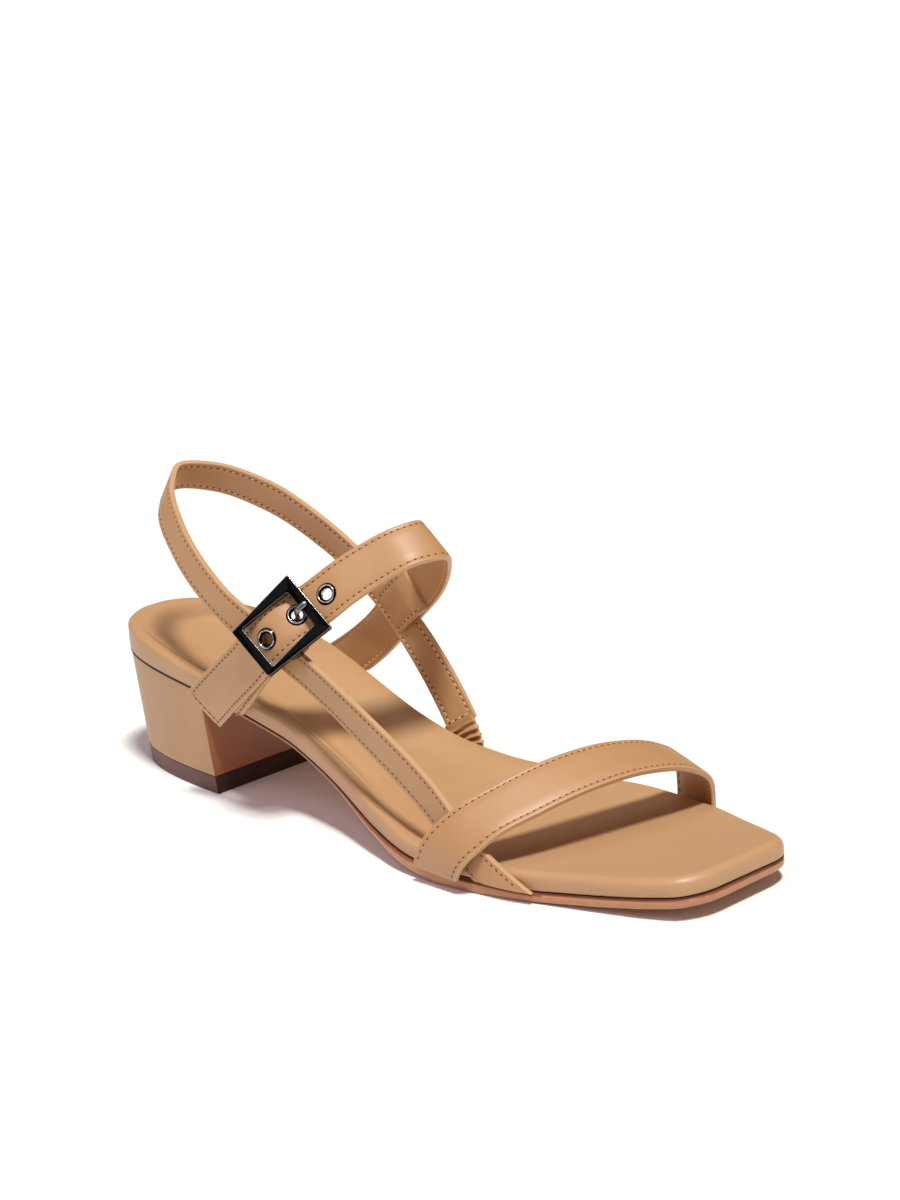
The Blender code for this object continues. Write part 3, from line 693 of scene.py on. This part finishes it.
def cutAtSeam(bm, x, low=-math.inf, high=math.inf, tilt=0.0):
    # trims the strap between two lengths where it goes into the seam of the sole
    along = bm.verts.layers.float["along"]
    near = [v for v in bm.verts if low <= v[along] <= high]
    faces = [f for f in bm.faces if all(low <= v[along] <= high for v in f.verts)]
    edges = [e for e in bm.edges if all(low <= v[along] <= high for v in e.verts)]
    span = 5.0     # the seam's slope is read over this far to each side
    rise = float(seamHeight(x + span)[0] - seamHeight(x - span)[0]) / (2 * span) + tilt
    at = spot(x, 0.0, float(seamHeight(x)[0]) + shoe["gap"])
    bmesh.ops.bisect_plane(bm, geom=near + edges + faces, dist=1e-7, plane_co=at,
                           plane_no=Vector((-rise, 0.0, 1.0)).normalized(), clear_inner=True)


def closeEnds(bm):
    bmesh.ops.holes_fill(bm, edges=[e for e in bm.edges if e.is_boundary], sides=0)


def softenEnd(bm, length, offset):
    # the end cap is the only face there with many corners
    along = bm.verts.layers.float["along"]
    ends = [f for f in bm.faces if len(f.verts) > 8 and all(abs(v[along] - length) < hair for v in f.verts)]
    edges = [e for f in ends for e in f.edges]
    if edges:
        bevelEdges(bm, edges, offset * mm, segments=2)


thread = {
    "pitch": 2.15, "half": 0.78, "radius": 0.3, "hole": 0.42, "holeRadius": 0.3, "flatten": 0.55, "slant": 13.0,
    "proud": 0.05, "holeSunk": 0.03, "acrossProud": 0.01,
    "clear": 1.5,     # rows stop this far above the seam
}


def stitchShape(half, radius, index):
    bm = bmesh.new()
    slant = Matrix.Rotation(math.radians(thread["slant"]), 4, "Y")
    size = Matrix.Diagonal((radius, radius * thread["flatten"], half, 1.0))
    bmesh.ops.create_uvsphere(bm, u_segments=6, v_segments=4, radius=1.0, matrix=slant @ size)
    for face in bm.faces:
        face.material_index = index
    return meshOf(bm, "stitchShape")


outerStitch = stitchShape(thread["half"], thread["radius"], 0)
innerStitch = stitchShape(thread["half"], thread["radius"], 1)
holeShadeStitch = stitchShape(thread["hole"], thread["holeRadius"], 2)


def overSeam(pose):
    x, y, z = lastPlace(pose.translation)
    return z > float(seamHeight(x)[0]) + thread["clear"]


def stitchTo(bm, pose, shape, sewn):
    if sewn and not overSeam(pose):
        return
    shape.transform(pose)
    bm.from_mesh(shape)
    shape.transform(pose.inverted())


def stitchRow(bm, place, look, across, start, end, side, sewn, holes):
    # one row along the strap: thread over, and between, a dark mark painted as the needle hole's shade
    count = max(2, round((end - start) / thread["pitch"]))
    level = side * (faceLevel(look, across) + thread["proud"])
    over = Matrix.Translation((across, level, 0.0))
    under = Matrix.Translation((across, level - side * thread["holeSunk"], 0.0))
    for k in range(count):
        s = start + (end - start) * (k + 0.5) / count
        stitchTo(bm, place(s) @ over, outerStitch if side > 0 else innerStitch, sewn)
        if holes:
            s = start + (end - start) * k / count
            stitchTo(bm, place(s) @ under, holeShadeStitch, sewn)


def stitchAcross(bm, place, look, at, side):
    # one row across the strap's end
    line = look["width"] / 2 - look["stitchIn"]
    count = max(2, round(2 * line / thread["pitch"]))
    turned = Matrix.Rotation(math.pi / 2, 4, "Y")
    for k in range(count):
        for part, shape in ((k + 0.5, outerStitch if side > 0 else innerStitch), (k, holeShadeStitch)):
            across = -line + 2 * line * part / count
            crown = look["crown"] * (1 - (2 * across / look["width"]) ** 2)
            level = side * (look["thick"] / 2 + crown + thread["acrossProud"])
            stitchTo(bm, place(at) @ Matrix.Translation((across, level, 0.0)) @ turned, shape, False)


def stitchPiece(name, place, look, start, end, sides=(1, -1), endRow=None, sewn=True, quiet=False):
    # sewn rows stop above the seam, and a quiet strap has no painted needle-hole shade inside
    bm = bmesh.new()
    line = look["width"] / 2 - look["stitchIn"]
    for side in sides:
        for across in (-line, line):
            stitchRow(bm, place, look, across, start, end, side, sewn, side > 0 or not quiet)
        if endRow:
            stitchAcross(bm, place, look, endRow, side)
    makePiece(name, bm, [threadOuter, threadInner, needleHoleShade], sharp=180.0)


strapLook = {
    "thick": 1.8, "round": 0.42, "stitchIn": 1.5, "dip": 0.18, "dipHalf": 0.5, "crown": 0.1, "step": 1.5,
    "endRound": 0.35,
}
backAndUp = (-0.66, 0.0, 0.75)
upward = (0.0, 0.0, 1.0)

toeStrap = {
    **strapLook, "width": 16.5,
    "rows": [  # x, y, z, lean of the width in degrees
        (173.5, -43.0, 1.5, -2), (179.0, -44.0, 11.5, 1), (186.0, -39.0, 19.5, 13), (193.0, -25.0, 25.5, 21),
        (198.5, -7.0, 29.1, 23), (202.5, 12.0, 28.9, 20), (204.5, 27.0, 25.0, 17), (204.0, 36.5, 18.8, 15),
        (202.0, 39.7, 11.5, 10), (201.5, 39.9, 4.0, 9),
    ],
    "spare": 6.0, "trim": 30.0, "outerEnd": 174.0, "innerEnd": 201.0,     # where the ends go into the seam
}
toeRibbon = Ribbon(toeStrap["rows"], forward)
bm = strapBody(toeRibbon.place, toeStrap, -toeStrap["spare"], toeRibbon.length + toeStrap["spare"])
cutAtSeam(bm, toeStrap["outerEnd"], high=toeStrap["trim"])
cutAtSeam(bm, toeStrap["innerEnd"], low=toeRibbon.length - toeStrap["trim"])
closeEnds(bm)
makePiece("toeStrap", bm, [strapLeather])
stitchPiece("toeStrapStitches", toeRibbon.place, toeStrap, 0.0, toeRibbon.length)
print("toe strap made")

sling = {
    **strapLook, "width": 10.3,
    "rows": [
        (205.5, -39.1, -0.9, 12), (188.3, -39.9, 9.2, 6), (166.0, -36.4, 23.5, 6), (135.5, -32.7, 38.5, 3),
        (99.9, -27.3, 51.8, -1), (70.0, -28.3, 65.8, 7), (46.8, -23.4, 80.5, 18), (31.7, -14.4, 90.5, 28),
        (25.8, -4.8, 94.4, 27), (30.8, 5.8, 92.6, 19), (43.8, 16.2, 86.0, 10), (62.8, 22.3, 74.8, 7),
        (84.0, 23.4, 61.5, -2), (104.7, 22.9, 43.2, -21), (121.7, 21.8, 21.5, -34),
    ],
    "spare": 8.0, "trim": 40.0, "frontEnd": 202.0, "stitchFrom": 2.0, "endRowIn": 1.8,
}
slingRibbon = Ribbon(sling["rows"], upward)
bm = strapBody(slingRibbon.place, sling, -sling["spare"], slingRibbon.length)
cutAtSeam(bm, sling["frontEnd"], high=sling["trim"])
closeEnds(bm)
softenEnd(bm, slingRibbon.length, sling["endRound"])
makePiece("slingStrap", bm, [strapLeather])
lastRow = slingRibbon.length - sling["endRowIn"]
stitchPiece("slingStitches", slingRibbon.place, sling, sling["stitchFrom"], lastRow, endRow=lastRow)
print("sling made")

eyelet = {
    "first": 132.2, "pitch": 11.5, "count": 3, "punch": 2.3,
    "profile": [  # radius, height
        (2.12, -0.75), (2.2, -0.75), (2.2, 0.85), (3.4, 0.88), (3.43, 1.05), (3.2, 1.3), (2.95, 1.5),
        (2.85, 1.62), (2.68, 1.7), (2.5, 1.62), (2.38, 1.45), (2.0, 1.1), (1.8, 0.85),
    ],
    "crest": (2.4, 2.92), "crestOver": 1.0, "barrelUnder": 0.6,     # bright, between dark slopes that are painted shade and dark reflection
}
buckle = {
    "at": eyelet["first"] + 1.5 * eyelet["pitch"],
    "length": 24.3, "top": 3.3, "thick": 2.1, "low": -1.25, "corner": 0.7, "bevel": 0.24, "sharper": 25.0,
    "front": {"width": 22.0, "window": 13.4, "bar": 3.5},     # where the pin rests
    "rear": {"width": 18.6, "window": 15.6, "bar": 3.1},
    "lug": {"narrower": 0.4, "length": 9.0, "under": 0.6, "taper": 0.5, "bevel": 0.25},
    "barRadius": 0.8, "barLevel": -1.2, "turn": -2.9, "shift": (-0.57, 0.0, 0.39),
}
instep = {
    **strapLook, "width": 15.2,
    "rows": [
        (59.0, 23.0, 27.5, -12), (78.5, 26.0, 40.5, -12), (95.5, 25.5, 55.5, -2), (111.5, 22.0, 69.0, 3),
        (122.2, 15.2, 80.1, 5), (128.0, 8.0, 85.1, 8), (126.0, -0.6, 84.9, 15), (118.7, -10.0, 79.8, 13),
        (110.5, -19.5, 72.5, 9), (103.5, -27.0, 66.0, 6), (97.0, -33.5, 59.0, 0), (88.5, -35.0, 50.8, -5),
        (76.4, -34.0, 41.5, -9), (61.5, -31.6, 30.2, -17),
    ],
    "weave": {"at": buckle["at"], "lift": [(-22.0, 0.0), (-10.0, -1.3), (0.0, 0.9), (10.0, 0.4), (22.0, 0.0)]},
    "spare": 12.0, "trim": 36.0, "innerEnd": 62.0, "stitchFrom": 14.0, "endRowIn": 2.0,
}
instepRibbon = Ribbon(instep["rows"], backAndUp, instep["weave"])
bm = strapBody(instepRibbon.place, instep, -instep["spare"], instepRibbon.length)
cutAtSeam(bm, instep["innerEnd"], high=instep["trim"])
closeEnds(bm)
softenEnd(bm, instepRibbon.length, instep["endRound"])
instepPiece = makePiece("instepStrap", bm, [strapLeather], ["upper_straps"])


def punch(piece, poses, radius):
    # real holes, so that light shows through the open eyelet
    turned = Matrix.Rotation(math.pi / 2, 4, "X")
    for pose in poses:
        bm = bmesh.new()
        bmesh.ops.create_cone(bm, cap_ends=True, segments=28, radius1=radius, radius2=radius, depth=6.0,
                              matrix=pose @ turned)
        bmesh.ops.recalc_face_normals(bm, faces=bm.faces)
        tool = addObject("punchTool", meshOf(bm, "punchTool"))
        cut = piece.modifiers.new("punch", "BOOLEAN")
        cut.operation = "DIFFERENCE"
        cut.solver = "EXACT"
        cut.object = tool
        bpy.context.view_layer.update()
        graph = bpy.context.evaluated_depsgraph_get()
        done = bpy.data.meshes.new_from_object(piece.evaluated_get(graph))
        piece.modifiers.remove(cut)
        piece.data = done
        bpy.data.objects.remove(tool)
    piece.data.shade_smooth()
    piece.data.set_sharp_from_angle(angle=math.radians(smoothAngle))


eyeletPoses = [instepRibbon.place(eyelet["first"] + k * eyelet["pitch"]) for k in range(eyelet["count"])]
punch(instepPiece, eyeletPoses, eyelet["punch"])
lastRow = instepRibbon.length - instep["endRowIn"]
stitchPiece("instepStitches", instepRibbon.place, instep, instep["stitchFrom"], lastRow, endRow=lastRow,
            sewn=False, quiet=True)
print("instep strap made")

tab = {
    **strapLook, "width": 15.2,
    "rows": [
        (99.1, -30.7, 61.1, 3), (96.2, -31.6, 58.3, 0), (89.0, -33.2, 50.6, -5), (77.9, -32.2, 40.2, -8),
        (65.6, -30.2, 29.1, -9),
    ],
    "spare": 10.0, "trim": 30.0, "lowEnd": 66.0, "endTilt": 0.12, "stitchFrom": 3.0,
}
tabRibbon = Ribbon(tab["rows"], backAndUp)
bm = strapBody(tabRibbon.place, tab, 0.0, tabRibbon.length + tab["spare"])
cutAtSeam(bm, tab["lowEnd"], low=tabRibbon.length - tab["trim"], tilt=tab["endTilt"])
closeEnds(bm)
makePiece("buckleTab", bm, [strapLeather])
stitchPiece("buckleTabStitches", tabRibbon.place, tab, tab["stitchFrom"], tabRibbon.length)

keeper = {
    **strapLook, "width": 15.2, "thick": 1.4, "round": 0.4, "step": 0.8, "at": 47.5, "reach": 10.0,
    "stitchReach": 9.0,
    "depth": [(-10.0, 1.5), (-7.2, 3.0), (-5.0, 3.6), (0.0, 3.8), (5.0, 3.6), (7.2, 3.0), (10.0, 1.5)],
}


def keeperPlace(along):
    depth = float(steadyCurve(keeper["depth"], along)[0])
    return instepRibbon.place(keeper["at"] + along) @ Matrix.Translation((0.0, -depth, 0.0))


bm = strapBody(keeperPlace, keeper, -keeper["reach"], keeper["reach"])
closeEnds(bm)
makePiece("slingKeeper", bm, [strapLeather])
stitchPiece("keeperStitches", keeperPlace, keeper, -keeper["stitchReach"], keeper["stitchReach"], sides=(-1,),
            sewn=False)
for shape in (outerStitch, innerStitch, holeShadeStitch):
    bpy.data.meshes.remove(shape)
print("tab and keeper made")

elastic = {
    **strapLook, "width": 10.0, "thick": 1.5, "round": 0.6, "dip": 0.0, "crown": 0.2, "step": 0.3,
    "rows": [(121.4, 21.2, 21.2, -33), (123.4, 21.6, 16.4, -26), (125.0, 21.4, 11.5, -20)],
    "lead": 1.5, "spare": 6.0, "trimFrom": 6.0, "lowEnd": 125.0,
    "fold": 2.2, "swell": 0.6, "fadeIn": 1.5, "slant": 0.04, "wander": 0.11, "wanderRate": 0.9, "second": 0.35,
}


def gather(bm):
    # folds run across the elastic and wander a little
    along = bm.verts.layers.float["along"]
    for vert in bm.verts:
        s = vert[along]
        pose = elasticRibbon.place(s)
        local = pose.inverted() @ vert.co
        wander = elastic["wander"] * math.sin(elastic["wanderRate"] * local.x)
        turn = 2 * math.pi * (s / elastic["fold"] + wander + elastic["slant"] * local.x)
        side = 1.0 if local.y > 0 else -1.0
        fade = min(1.0, max(0.0, s / elastic["fadeIn"]))
        wave = math.sin(turn) + elastic["second"] * math.sin(2 * turn + local.x)
        local.y += side * elastic["swell"] * fade * wave
        vert.co = pose @ local


elasticRibbon = Ribbon(elastic["rows"], forward)
bm = strapBody(elasticRibbon.place, elastic, -elastic["lead"], elasticRibbon.length + elastic["spare"])
gather(bm)
cutAtSeam(bm, elastic["lowEnd"], low=elastic["trimFrom"])
closeEnds(bm)
makePiece("gatheredElastic", bm, [strapLeather], ["elastic"], sharp=70.0)
print("elastic made")

# Buckle and eyelets: shaped flat (across, along, up), then laid on the strap
flatToStrap = Matrix(((1, 0, 0, 0), (0, 0, 1, 0), (0, 1, 0, 0), (0, 0, 0, 1)))
weaveLift = float(steadyCurve(instep["weave"]["lift"], 0.0)[0])
bucklePose = instepRibbon.place(buckle["at"]) @ Matrix.Translation((0.0, -weaveLift, 0.0))
bucklePose = bucklePose @ Matrix.Translation(buckle["shift"])
bucklePose = bucklePose @ Matrix.Rotation(math.radians(buckle["turn"]), 4, "Y")


def polishEdges(bm, offset):
    for face in bevelEdges(bm, sharpEdges(bm, buckle["sharper"]), offset, segments=2):
        face.material_index = 1


def joinTo(bm, extra):
    mesh = meshOf(extra, "joined")
    bm.from_mesh(mesh)
    bpy.data.meshes.remove(mesh)


bm = bmesh.new()
bmesh.ops.create_grid(bm, x_segments=1, y_segments=1, size=1.0)
bmesh.ops.inset_region(bm, faces=bm.faces[:], thickness=0.2, use_boundary=True, use_even_offset=True)
window = min(bm.faces, key=lambda f: f.calc_center_median().length)
for vert in bm.verts:
    end = buckle["front"] if vert.co.y < 0 else buckle["rear"]
    inside = vert in window.verts[:]
    half = (end["window"] if inside else end["width"]) / 2
    reach = buckle["length"] / 2 - (end["bar"] if inside else 0.0)
    vert.co = (math.copysign(half, vert.co.x), math.copysign(reach, vert.co.y), 0.0)
bmesh.ops.delete(bm, geom=[window], context="FACES_ONLY")
raised = bmesh.ops.extrude_face_region(bm, geom=bm.faces[:])["geom"]
bmesh.ops.translate(bm, verts=vertsOf(raised), vec=(0.0, 0.0, buckle["thick"]))
bmesh.ops.translate(bm, verts=bm.verts, vec=(0.0, 0.0, buckle["top"] - buckle["thick"]))
bmesh.ops.recalc_face_normals(bm, faces=bm.faces)
upright = [e for e in bm.edges if abs(e.verts[0].co.z - e.verts[1].co.z) > buckle["thick"] / 2]
bevelEdges(bm, upright, buckle["corner"], segments=4)
polishEdges(bm, buckle["bevel"])
lug = buckle["lug"]
halfWide = (buckle["front"]["width"] + buckle["rear"]["width"]) / 4
halfWindow = (buckle["front"]["window"] + buckle["rear"]["window"]) / 4
lugWide = halfWide - halfWindow - lug["narrower"]
lugTall = buckle["top"] - buckle["low"] - lug["under"]
lugAt = (halfWide + halfWindow) / 2
for side in (-1, 1):
    # a lug under each side bar carries the centre bar
    block = bmesh.new()
    bmesh.ops.create_cube(block, size=1.0)
    bmesh.ops.scale(block, verts=block.verts, vec=(lugWide, lug["length"], lugTall))
    middle = (side * lugAt, 0.0, (buckle["top"] + buckle["low"]) / 2 - lug["under"] / 2)
    bmesh.ops.translate(block, verts=block.verts, vec=middle)
    low = [v for v in block.verts if v.co.z < 0]
    bmesh.ops.scale(block, verts=low, vec=(1.0, lug["taper"], 1.0))
    polishEdges(block, lug["bevel"])
    joinTo(bm, block)
barPose = Matrix.Translation((0.0, 0.0, buckle["barLevel"])) @ Matrix.Rotation(math.pi / 2, 4, "Y")
bmesh.ops.create_cone(bm, cap_ends=True, segments=20, radius1=buckle["barRadius"], radius2=buckle["barRadius"],
                      depth=2 * lugAt + lugWide / 2, matrix=barPose)
bmesh.ops.transform(bm, matrix=bucklePose @ flatToStrap, verts=bm.verts)
makePiece("buckleFrame", bm, [gunmetal, brightEdge], ["buckle_frame"], sharp=30.0)

prong = {
    "wide": 1.0, "deep": 0.6, "sides": 16, "step": 0.18, "ridge": 0.07, "ridgePitch": 0.75,
    "endRound": 0.9, "endLeast": 0.02,
    "loop": [(1.8, -0.4), (1.2, -1.4), (0.0, -1.8), (-1.6, -1.5)],     # along the strap, over the bar's level
    "hole": [-2.0, 0.0, 2.0],                                          # heights in the middle eyelet
    "tip": [(-8.0, 0.75), (-9.6, 0.85), (-11.3, 0.75)],                # along the strap, over the frame
}


def prongRow(pose, along, height):
    return (*lastPlace(pose @ Vector((0.0, height, along))), 0.0)


rows = [prongRow(bucklePose, along, buckle["barLevel"] + over) for along, over in prong["loop"]]
rows += [prongRow(eyeletPoses[1], 0.0, height) for height in prong["hole"]]
rows += [prongRow(bucklePose, along, buckle["top"] + over) for along, over in prong["tip"]]
prongRibbon = Ribbon(rows, bucklePose.col[0].xyz.normalized())
lengths = spread(0.0, prongRibbon.length, prong["step"])
section = []
for k in range(prong["sides"]):
    turn = 2 * math.pi * k / prong["sides"]
    section.append((prong["wide"] * math.cos(turn), prong["deep"] * math.sin(turn), 0.0))
poses = []
for s in lengths:
    room = min(s, prongRibbon.length - s)
    size = math.sqrt(max(prong["endLeast"], 1 - max(0.0, 1 - room / prong["endRound"]) ** 2))
    size *= 1 + prong["ridge"] * math.sin(2 * math.pi * s / prong["ridgePitch"])
    poses.append(prongRibbon.place(s) @ Matrix.Diagonal((size, size, 1.0, 1.0)))
bm = sweep(poses, section, lengths)
closeEnds(bm)
makePiece("bucklePin", bm, [prongMetal], ["buckle_prong"], sharp=60.0)

for k, pose in enumerate(eyeletPoses):
    bm = bmesh.new()
    verts = [bm.verts.new((r, 0.0, h)) for r, h in eyelet["profile"]]
    edges = [bm.edges.new((verts[i - 1], verts[i])) for i in range(len(verts))]
    bmesh.ops.spin(bm, geom=verts + edges, cent=(0, 0, 0), axis=(0, 0, 1), angle=2 * math.pi, steps=36,
                   use_merge=True)
    bmesh.ops.recalc_face_normals(bm, faces=bm.faces)
    crestIn, crestOut = eyelet["crest"]
    for face in bm.faces:
        middle = face.calc_center_median()
        crest = crestIn < middle.xy.length < crestOut and middle.z > eyelet["crestOver"]
        # the slopes and inner funnel take the dark metal as painted shade and dark reflection; the crest and
        # barrel stay bright
        face.material_index = 0 if crest or middle.z < eyelet["barrelUnder"] else 1
    bmesh.ops.transform(bm, matrix=pose @ flatToStrap, verts=bm.verts)
    makePiece("eyelet%d" % (k + 1), bm, [eyeletMetal, gunmetal], ["eyelet_%d" % (k + 1)],
              sharp=50.0)
print("metal made")

# Studio
studio = {
    "floor": 40.0, "floorDrop": 0.1, "floorTone": 0.92, "floorGlow": 0.015, "floorRoughness": 0.8,
    "floorSpecular": 0.1, "sky": 0.18, "skyTint": (1.0, 0.8, 0.62, 1.0),
    "lights": {
        "keyLight": {"power": 2.95, "angle": 10.0, "colour": (0.98, 1.0, 0.97), "way": (-0.32, 0.13, -1.0)},
        "topSheen": {"power": 0.2, "angle": 25.0, "colour": (0.92, 0.95, 1.0), "way": (0.19, -0.06, -0.98)},
        "sideFill": {"power": 0.52, "angle": 40.0, "colour": (0.89, 0.77, 1.0), "way": (0.13, 0.6, -0.7)},
    },
}
bm = bmesh.new()
bmesh.ops.create_grid(bm, x_segments=1, y_segments=1, size=studio["floor"])
bmesh.ops.translate(bm, verts=bm.verts, vec=(0.0, 0.0, -studio["floorDrop"] * mm))
mesh = meshOf(bm, "studioFloor")
tone = studio["floorTone"]
mesh.materials.append(Finish("studioFloor").set({
    "Base Color": (tone, tone, tone, 1.0), "Roughness": studio["floorRoughness"],
    "Specular IOR Level": studio["floorSpecular"],
    "Emission Color": (1.0, 1.0, 1.0, 1.0), "Emission Strength": studio["floorGlow"],
}))
floor = addObject("studioFloor", mesh)

world = bpy.data.worlds.new("studioSky")
world.use_nodes = True
world.node_tree.nodes["Background"].inputs["Color"].default_value = studio["skyTint"]
world.node_tree.nodes["Background"].inputs["Strength"].default_value = studio["sky"]
bpy.context.scene.world = world
for name, look in studio["lights"].items():
    data = bpy.data.lights.new(name, "SUN")
    data.energy = look["power"]
    data.angle = math.radians(look["angle"])
    data.color = look["colour"]
    lamp = addObject(name, data)
    lamp.rotation_mode = "QUATERNION"
    lamp.rotation_quaternion = Vector(look["way"]).to_track_quat("-Z", "Y")

photoView = {
    "eye": spot(860.1, -680.7, 359.8),
    "right": (0.695, 0.715, -0.073),
    "up": (-0.177, 0.268, 0.947),
    "back": (0.697, -0.645, 0.313),
    "focal": 3448.0,            # in pixels of the 900 x 1200 frame
    "axis": (417.2, 719.1),     # where the lens axis meets the frame
    "frame": (900.0, 1200.0),
    "sensor": 36.0,
    "nearest": 0.05,
}
data = bpy.data.cameras.new("photoCamera")
wide, tall = photoView["frame"]
data.sensor_width = photoView["sensor"]
data.lens = photoView["focal"] * photoView["sensor"] / tall
data.shift_x = (wide / 2 - photoView["axis"][0]) / tall
data.shift_y = (photoView["axis"][1] - tall / 2) / tall
data.clip_start = photoView["nearest"]
camera = addObject("photoCamera", data)
turned = Matrix((photoView["right"], photoView["up"], photoView["back"])).transposed()
camera.matrix_world = Matrix.Translation(photoView["eye"]) @ turned.to_quaternion().to_matrix().to_4x4()
bpy.context.scene.camera = camera
bpy.context.scene.view_settings.view_transform = "Standard"
print("studio made")
